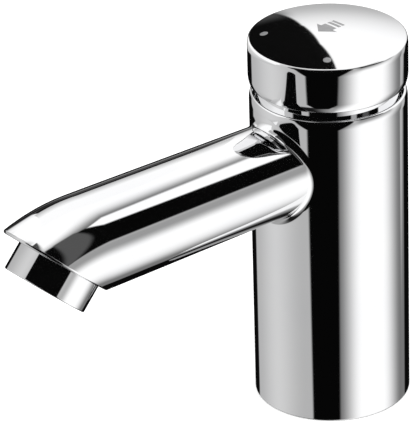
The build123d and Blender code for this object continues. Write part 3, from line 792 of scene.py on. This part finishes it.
# %% [markdown]
# ## The cap
# The cap is a turned brass shell with a shallow dome, plated on its outside. The dome is part of a sphere
# 192 mm across, and a small round leads it into the side. Inside, a boss slides on the spindle's head.
# At rest it stands four and a half degrees round from square.

# %% The cap's outline
cap_radius = 24.2
cap_base = 104.9
cap_rim = 119.0
dome_rise = 3.1
dome_radius = (cap_radius**2 + dome_rise**2) / (2 * dome_rise)
dome_centre = cap_rim + dome_rise - dome_radius
cap_turn = math.radians(4.5)
# The dome ends where the edge begins, and the other way round, so a few rounds settle both.
dome_end = 0.0
for _ in range(8):
    cap_top_edge = soft_edge(7.0, math.radians(14.0), 0.8, math.pi / 2 - dome_end)
    dome_end = math.asin((cap_radius - cap_top_edge[-1][0]) / dome_radius)
side_top = dome_centre + dome_radius * math.cos(dome_end) - cap_top_edge[-1][1]
cap_lower_edge = soft_edge(7.0, math.radians(20.0), 0.7)
side_base = cap_base + cap_lower_edge[-1][1]
# The dome's last point stops just short of the edge's first.
dome_steps = 40
last_lean = dome_end - 0.0006
leans = [last_lean * step / dome_steps for step in range(dome_steps + 1)]
cap_outline = [
    Vector((dome_radius * math.sin(lean), dome_centre + dome_radius * math.cos(lean))) for lean in leans
]
cap_outline += [Vector((cap_radius - inset, side_top + rise)) for inset, rise, _ in reversed(cap_top_edge)]
cap_outline.append(Vector((cap_radius, (side_top + side_base) / 2)))
cap_outline += [Vector((cap_radius - inset, side_base - rise)) for inset, rise, _ in cap_lower_edge]
cap_outline += rounded_outline(
    [(23.0, cap_base, 0), (22.0, cap_base, 0.2), (22.0, 116.8, 1.0), (12.9, 116.8, 0.6)]
    + [(12.9, 106.0, 0.3), (9.1, 106.0, 0.3), (9.1, 114.9, 0.2), (0.0, 114.9, 0)]
)
print("cap outline:", len(cap_outline), "points, dome radius", round(dome_radius, 2))

# %% [markdown]
# Three holes are cut in the turned cap: two round pockets for the marks, and at the rear the tapped hole of
# the grub screw with its access hole. The dome and side get exact normals again, because a cut through a
# curved face leaves thin slivers that would show as ripples in the mirror.

# %% Cut the cap's pockets and rear hole
def dome_height(x, y):
    return dome_centre + math.sqrt(dome_radius**2 - x * x - y * y)


mark_circle = 19.0
mark_angle = math.radians(45.0)
pocket_depth = 1.5
turn_cap = Matrix.Rotation(cap_turn, 4, "Z")
mark_side = mark_circle * math.sin(mark_angle)
mark_front = -mark_circle * math.cos(mark_angle)
mark_places = {
    "hot": turn_cap @ Vector((-mark_side, mark_front, 0)),
    "cold": turn_cap @ Vector((mark_side, mark_front, 0)),
}
cap_mesh = turned_mesh("cap", cap_outline, chrome)
cap_mesh.materials.append(brass)
cap_cutters = []
for mark_place in mark_places.values():
    low = dome_height(mark_place.x, mark_place.y) - pocket_depth
    pocket = turned_solid([(0, low), (1.25, low), (1.25, low + 4), (0, low + 4)], 64)
    cap_cutters.append(cutter_mesh(pocket, Matrix.Translation((mark_place.x, mark_place.y, 0))))
rear = turn_cap @ Vector((0, 1, 0))
screw_hole = turned_solid([(0, 0), (2.05, 0), (2.05, 14), (2.3, 14), (2.3, 28), (0, 28)], 48)
cap_cutters.append(cutter_mesh(screw_hole, facing(Vector((0, 0, 109.2)), rear)))
cap_mesh = cut(cap_mesh, cap_cutters)

# %% Exact normals on the cap
def cap_normal(point):
    """The cap's outward normal at a plated point, or None where it isn't on its dome, edges or side."""
    x, y, z = point / mm
    out = math.hypot(x, y)
    from_centre = Vector((x, y, z - dome_centre))
    if out < dome_radius * math.sin(dome_end) + 0.001 and abs(from_centre.length - dome_radius) < 0.004:
        return from_centre.normalized()
    for level, edge, upwards in ((side_top, cap_top_edge, 1), (side_base, cap_lower_edge, -1)):
        for inset, rise, tilt in edge:
            if math.hypot(out - cap_radius + inset, z - level - upwards * rise) < 0.002:
                way = Vector((x, y, 0)).normalized() * math.cos(tilt)
                return way + Vector((0, 0, upwards * math.sin(tilt)))
    if abs(out - cap_radius) < 0.01 and side_base <= z <= side_top:
        return Vector((x, y, 0)).normalized()
    return None


corner_normals = []
for polygon in cap_mesh.polygons:
    found = [cap_normal(cap_mesh.vertices[k].co) for k in polygon.vertices]
    plated = polygon.material_index == 0 and all(normal is not None for normal in found)
    for normal in found:
        corner_normals.append(tuple(normal) if plated else (0.0, 0.0, 0.0))
cap_mesh.normals_split_custom_set(corner_normals)
keep_piece("cap", cap_mesh, "push_set", "chromed_brass", "push_cap")

# %% [markdown]
# ## Marks and arrow
# Two inlaid marks tell hot from cold, and an arrow with two bars is printed on the dome. All follow the
# dome. The marks are round and stand a tenth of a millimetre proud. The arrow is a thin printed film.

# %% Inlaid marks
def inlaid_mark(name, centre, node):
    shape = bmesh.new()
    steps = 64
    floor = dome_height(centre.x, centre.y) - pocket_depth
    rings = []
    for radius, proud in ((1.2, None), (1.2, 0.0), (1.19, 0.05), (1.14, 0.085), (1.04, 0.1), (0.6, 0.1)):
        ring = []
        for k in range(steps):
            x = centre.x + radius * math.cos(math.tau * k / steps)
            y = centre.y + radius * math.sin(math.tau * k / steps)
            ring.append(shape.verts.new((x, y, floor if proud is None else dome_height(x, y) + proud)))
        rings.append(ring)
    for first, second in zip(rings, rings[1:]):
        for k in range(steps):
            shape.faces.new((first[k], first[(k + 1) % steps], second[(k + 1) % steps], second[k]))
    middle = shape.verts.new((centre.x, centre.y, dome_height(centre.x, centre.y) + 0.1))
    for k in range(steps):
        shape.faces.new((rings[-1][k], rings[-1][(k + 1) % steps], middle))
    shape.faces.new(rings[0])
    mesh = mesh_of(name, shape)
    mesh.set_sharp_from_angle(angle=math.radians(40.0))
    keep_piece(name, mesh, "push_set", "mark_enamel", node)


for side, node in (("hot", "hot_mark"), ("cold", "cold_mark")):
    inlaid_mark("inlaid_mark_" + side, mark_places[side], node)

# %% A printed film on the dome
def printed_shape(name, outline, lift=0.02, sink=0.03, spacing=0.5):
    """A film on the dome with a flat outline, given in the cap's own frame."""
    outline = [Vector(point) for point in outline]
    edge = []
    for first, second in zip(outline, outline[1:] + outline[:1]):
        pieces = max(1, round((second - first).length / spacing))
        edge += [first.lerp(second, k / pieces) for k in range(pieces)]
    low_x, high_x = min(p.x for p in edge), max(p.x for p in edge)
    low_y, high_y = min(p.y for p in edge), max(p.y for p in edge)
    points = list(edge)
    for k in range(1, int((high_x - low_x) / spacing)):
        for n in range(1, int((high_y - low_y) / spacing)):
            point = Vector((low_x + k * spacing, low_y + n * spacing))
            if all((point - other).length > spacing * 0.45 for other in edge):
                points.append(point)
    made = geometry.delaunay_2d_cdt(points, [], [list(range(len(edge)))], 1, 0.00001)
    shape = bmesh.new()
    layers = []
    for height in (lift, -sink):
        layer = []
        for flat in made[0]:
            spot = turn_cap @ Vector((flat.x, flat.y, 0))
            layer.append(shape.verts.new((spot.x, spot.y, dome_height(spot.x, spot.y) + height)))
        layers.append(layer)
    border = {}
    for face in made[2]:
        shape.faces.new([layers[0][k] for k in face])
        shape.faces.new([layers[1][k] for k in reversed(face)])
        for first, second in zip(face, face[1:] + face[:1]):
            side = tuple(sorted((first, second)))
            border[side] = border.get(side, 0) + 1
    for (first, second), uses in border.items():
        if uses == 1:
            shape.faces.new((layers[0][first], layers[0][second], layers[1][second], layers[1][first]))
    mesh = mesh_of(name, shape)
    mesh.set_sharp_from_angle(angle=math.radians(40.0))
    keep_piece(name, mesh, "push_set", "mark_enamel")


# %% Print the arrow and its two bars
printed_shape(
    "printed_arrow",
    [(0.1, -3.9), (4.3, -0.3), (2.5, -0.3), (2.5, 1.4), (-2.3, 1.4), (-2.3, -0.3), (-4.1, -0.3)],
)
printed_shape("printed_bar_near", [(-2.3, 2.3), (2.5, 2.3), (2.5, 3.4), (-2.3, 3.4)])
printed_shape("printed_bar_far", [(-2.3, 4.0), (2.5, 4.0), (2.5, 5.0), (-2.3, 5.0)])

# %% [markdown]
# ## The aerator's ring
# Under the slanted end of the spout sits the aerator, a chromed ring that screws into the spout. It is
# turned with the same lathe tree, and then tipped to the outlet's plane.

# %% Aerator ring
outlet_place = facing(outlet_centre * mm, outlet_way)
ring_outline = rounded_outline(
    [(10.4, -7.4, 0.0), (11.95, -7.4, 0.3), (11.95, 0.0, 0.1), (13.2, 0.0, 0.15), (13.2, 8.8, 0.4)]
    + [(9.6, 8.8, 0.15), (9.6, 7.9, 0.1), (10.4, 7.9, 0.0), (10.4, -7.4, 0.0)]
)
ring_mesh = turned_mesh("aerator_ring", ring_outline, chrome, place=outlet_place)
keep_piece("aerator_ring", ring_mesh, "tap_body", "chromed_brass", "aerator_housing")

# %% [markdown]
# ## The return spring with Geometry Nodes
# A steel wire is wound round the rod between the valve seat and the rod's collar, and both ends are ground
# flat so that it stands square. The wire follows a path, so a tree sweeps a round profile along a spiral.
# The flat ends are two plane cuts. In the tap the spring shortens as the cap goes down, its foot on the seat
# and its top following the collar; here it is wound once at its rest length and rides on the spindle.

# %% The coil tree
coil_sizes = dict.fromkeys(("Mean radius", "Wire radius", "Turns", "Length"), "Float")
coil, given = start_tree("coil", {**coil_sizes, "Finish": "Material"})
centre_line = add_node(
    coil,
    "GeometryNodeCurveSpiral",
    {
        "Resolution": 48,
        "Rotations": given["Turns"],
        "Start Radius": given["Mean radius"],
        "End Radius": given["Mean radius"],
        "Height": given["Length"],
        "Reverse": True,
    },
)
section = add_node(
    coil, "GeometryNodeCurvePrimitiveCircle", {"Resolution": 20, "Radius": given["Wire radius"]}
)
swept = add_node(
    coil,
    "GeometryNodeCurveToMesh",
    {"Curve": centre_line.outputs[0], "Profile Curve": section.outputs[0], "Fill Caps": True},
)
end_tree(coil, swept, given["Finish"])

# %% Wind the spring and grind its ends
spring_foot = 64.5
spring_length = 15.0
sizes = {"Mean radius": 7.1 * mm, "Wire radius": 0.6 * mm, "Turns": 6.0, "Length": spring_length * mm}
empty = bpy.data.meshes.new("return_spring_wire")
spring_mesh = grown_mesh(coil, empty, {**sizes, "Finish": steel})
shape = bmesh.new()
shape.from_mesh(spring_mesh)
bmesh.ops.translate(shape, vec=(0, 0, spring_foot * mm), verts=shape.verts)
for level, side in ((spring_foot, -1), (spring_foot + spring_length, 1)):
    bmesh.ops.bisect_plane(
        shape,
        geom=shape.verts[:] + shape.edges[:] + shape.faces[:],
        dist=0.0000001,
        plane_co=(0, 0, level * mm),
        plane_no=(0, 0, side),
        clear_outer=True,
    )
    bmesh.ops.holes_fill(shape, edges=[edge for edge in shape.edges if edge.is_boundary])
bmesh.ops.recalc_face_normals(shape, faces=shape.faces)
open_edges = sum(not edge.is_manifold for edge in shape.edges)
shape.to_mesh(spring_mesh)
shape.free()
spring_mesh.shade_smooth()
spring_mesh.set_sharp_from_angle(angle=math.radians(30.0))
spring_mesh.name = "return_spring_wire"
spring = keep_piece("return_spring_wire", spring_mesh, "spindle", "stainless_steel", "return_spring")
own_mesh(spring)
print("spring:", open_edges, "open edges")

# %% [markdown]
# ## Floor, light and surroundings
# The tap stands on a plain pale floor under one soft lamp. The floor glows a little to the camera, and the
# chrome mirrors neither of them.

# %% Floor
def add_panel(name, corners, material):
    mesh = bpy.data.meshes.new(name)
    mesh.from_pydata(corners, [], [(0, 1, 2, 3)])
    mesh.materials.append(material)
    return add_object(name, mesh)


white = (1.0, 1.0, 1.0, 1.0)
floor_glow = 0.45
floor_gap = 0.0002
floor_corners = [(-3, -3, 0), (3, -3, 0), (3, 3, 0), (-3, 3, 0)]
pale, tree, shader, place = new_finish("pale_floor", (0.9, 0.9, 0.9), 0.9)
shader.inputs["Emission Color"].default_value = white
seen = add_node(tree, "ShaderNodeLightPath").outputs["Is Camera Ray"]
tree.links.new(math_node(tree, "MULTIPLY", seen, floor_glow), shader.inputs["Emission Strength"])
floor = add_panel("floor", floor_corners, pale)
floor.location.z = -floor_gap
floor.visible_glossy = False
print("floor:", floor_gap, "m below the tap's foot")

# %% Lamp
lamp_data = bpy.data.lights.new("softbox", "AREA")
lamp_data.shape = "DISK"
lamp_data.size = 0.9
lamp_data.energy = 9.0
lamp = add_object("softbox", lamp_data)
lamp.location = (0.3, -0.5, 1.3)
lamp.rotation_euler = (Vector((0, -0.03, 0.05)) - lamp.location).to_track_quat("-Z", "Y").to_euler()
lamp.visible_glossy = False
print("lamp:", round(lamp_data.size, 3), "m across,", lamp_data.energy, "W")

# %% [markdown]
# A mirror shows its surroundings, so the chrome needs a room. A white screen stands close beside the spout
# and glows like a lit cloth, though no lamp lights it. It hides the far dark flags from the spout, while the
# cap above still mirrors them. Only mirrors see it. Along its lower edge the glow is painted darker, as
# painted shade beside the spout's outline.

# %% White screen beside the spout
screen_x = -0.032
screen_front = -0.098
screen_back = -0.013
screen_low = 0.107
screen_high = 0.18
screen_corners = [
    (screen_x, screen_front, screen_low),
    (screen_x, screen_front, screen_high),
    (screen_x, screen_back, screen_high),
    (screen_x, screen_back, screen_low),
]
# The glow is painted darker over the screen's lowest part, as painted shade; above that it glows fully.
painted_shade_height = 0.017
painted_shade_glow = 0.55
full_glow = 1.12
# The screen's finish is black and only glows: the glow stands in for a lit white cloth.
screen_glow_finish, tree, shader, place = new_finish("glowing_screen_with_painted_shade", (0.0, 0.0, 0.0), 0.5)
height = add_node(tree, "ShaderNodeSeparateXYZ", {0: place}).outputs["Z"]
glow_with_painted_shade = spread(tree, height, screen_low, screen_low + painted_shade_height, painted_shade_glow, full_glow)
shader.inputs["Specular IOR Level"].default_value = 0.0
shader.inputs["Emission Color"].default_value = white
tree.links.new(glow_with_painted_shade, shader.inputs["Emission Strength"])
screen = add_panel("white_screen", screen_corners, screen_glow_finish)
for rays in ("camera", "diffuse", "transmission", "shadow"):
    setattr(screen, "visible_" + rays, False)
print("screen beside the spout, seen only in the chrome")

# %% [markdown]
# The rest of the room is the world, which has two faces. To matt surfaces it is one even light. To chrome
# it is the studio of the photograph: white walls, a few black flags and grey panels. Each card is a soft
# patch of the sky, given by its azimuth and its elevation in degrees. Later cards cover earlier ones.

# %% Cards of the studio
studio_cards = {
    # name: (softness sideways and upwards, brightness, corners as (azimuth, elevation), anticlockwise)
    "grey wall on the left": (6, 6, 0.5, [(-190, -80), (-66, -80), (-66, 46), (-190, 46)]),
    "lighter part of that wall": (26, 9, 0.7, [(-152, -80), (-104, -80), (-104, 50), (-152, 50)]),
    "grey towards the front": (14, 14, 0.15, [(-60, -90), (-39, -90), (4, 8), (-60, 8)]),
    "floor on the left": (6, 3, 0.4, [(-190, -90), (-24, -90), (-30, -39), (-190, -39)]),
    "dark floor in front": (22, 3, 0.01, [(-114, -90), (-52, -90), (-46, -40), (-108, -40)]),
    "shaded floor on the right": (22, 20, 0.2, [(62, -120), (200, -120), (200, -4), (62, -4)]),
    "shaded wall behind": (17, 17, 0.5, [(112, -20), (170, -20), (170, 14), (112, 14)]),
    "grey wall behind": (5, 5, 0.5, [(172, -75), (190, -75), (190, 30), (172, 30)]),
    "dark floor behind": (2.5, 2, 0.003, [(98, -90), (179, -90), (179, -4), (98, -4)]),
    "pale strip beside it": (1.2, 1.2, 0.5, [(86.5, -28), (90, -28), (98.5, -24.5), (98.5, -5), (86.5, -5)]),
    "grey ceiling panel": (18, 10, 0.16, [(-30, 40), (97, 40), (80, 62), (-30, 66)]),
    "dark edge of that panel": (12, 3, 0.17, [(60, 46), (92, 46), (92, 55), (60, 55)]),
    "white wall on the right": (1, 1, 1.15, [(40, 26), (122, 26), (122, 53.7), (40, 53.7)]),
    "shade under the right flag": (8, 10, 0.36, [(-2, -7), (62, -7), (62, 18), (-2, 18)]),
    "grey slit beside that flag": (1.5, 1.5, 0.45, [(-12, 8), (12, 8), (12, 58), (-12, 58)]),
    "grey ceiling on the left": (10, 8, 0.5, [(-170, 52), (-80, 52), (-80, 84), (-170, 84)]),
    "dark ceiling in front": (5, 6, 0.07, [(-78, 48), (1, 48), (1, 96), (-78, 96)]),
    "dark room in front": (
        1.2, 1.2, 0.002, [(-106, 38), (-61, -46), (-39, -46), (-5, 6), (-1, 58), (-106, 58)]
    ),
    "flag on the right": (1.4, 1.4, 0.002, [(6.5, 10), (46, 15), (49.5, 41), (44, 55), (4, 64)]),
    "grey card in that flag": (1.6, 1.6, 0.095, [(17.5, 12), (30, 14), (34, 40), (42, 58), (14, 63)]),
    "flag behind, lower part": (0.25, 0.25, 0.004, [(145.6, 2), (158.5, 11), (158.5, 24), (144.1, 24)]),
    "flag behind, middle part": (0.25, 0.25, 0.004, [(144.1, 22), (158.5, 22), (158.5, 40), (141.6, 39.5)]),
    "flag behind, upper part": (0.25, 0.25, 0.004, [(141.7, 38), (158.5, 38), (158.5, 58), (135.8, 56)]),
    "low wall behind": (1.5, 5, 0.07, [(145, -1), (162, -8), (162, 10), (145, 10)]),
    "dark gap in that wall": (3, 4, 0.01, [(151, 3), (158, -8), (162, -8), (161, 10), (152, 10)]),
}
print("studio cards:", ", ".join(studio_cards))

# %% Where a ray looks in the sky
world = bpy.data.worlds.new("studio")
bpy.context.scene.world = world
world.use_nodes = True
tree = world.node_tree
backdrop = tree.nodes["Background"]
sky = add_node(tree, "ShaderNodeTexCoord").outputs["Generated"]
way = add_node(tree, "ShaderNodeSeparateXYZ", {0: sky}).outputs
azimuth = math_node(tree, "DEGREES", math_node(tree, "ARCTAN2", way["Y"], way["X"]))
elevation = math_node(tree, "DEGREES", math_node(tree, "ARCSINE", way["Z"]))

# %% A card with soft edges
def card_mask(sideways, upwards, corners):
    """One inside a card of the sky and nothing outside, with a soft edge."""
    mask = None
    for first, second in zip(corners, corners[1:] + corners[:1]):
        run = Vector(second) - Vector(first)
        inwards = Vector((-run.y, run.x)).normalized()
        level = inwards.dot(Vector(first))
        softness = abs(inwards.x) * sideways + abs(inwards.y) * upwards
        across = math_node(tree, "MULTIPLY", azimuth, inwards.x)
        depth = math_node(tree, "MULTIPLY_ADD", elevation, inwards.y, across)
        edge = spread(
            tree, depth, level - softness, level + softness, 0.0, 1.0, interpolation_type="SMOOTHSTEP"
        )
        mask = edge if mask is None else math_node(tree, "MULTIPLY", mask, edge)
    return mask


# %% Light for mirrors, for matt surfaces and for the camera
wall_brightness = 1.15
even_light = 0.75
camera_white = 1.0
brightness = wall_brightness
for sideways, upwards, level, corners in studio_cards.values():
    mask = card_mask(sideways, upwards, corners)
    brightness = add_node(tree, "ShaderNodeMix", {0: mask, 2: brightness, 3: level}).outputs[0]
path = add_node(tree, "ShaderNodeLightPath").outputs
lit = add_node(tree, "ShaderNodeMix", {0: path["Is Glossy Ray"], 2: even_light, 3: brightness})
clear = math_node(tree, "MAXIMUM", path["Is Camera Ray"], path["Is Transmission Ray"])
strength = add_node(tree, "ShaderNodeMix", {0: clear, 2: lit.outputs[0], 3: camera_white})
tree.links.new(strength.outputs[0], backdrop.inputs["Strength"])
backdrop.inputs["Color"].default_value = white
print("world:", len(tree.nodes), "nodes")

# %% [markdown]
# ## Done
# The view settings stay plain.

# %% Finish
bpy.context.scene.view_settings.view_transform = "Standard"
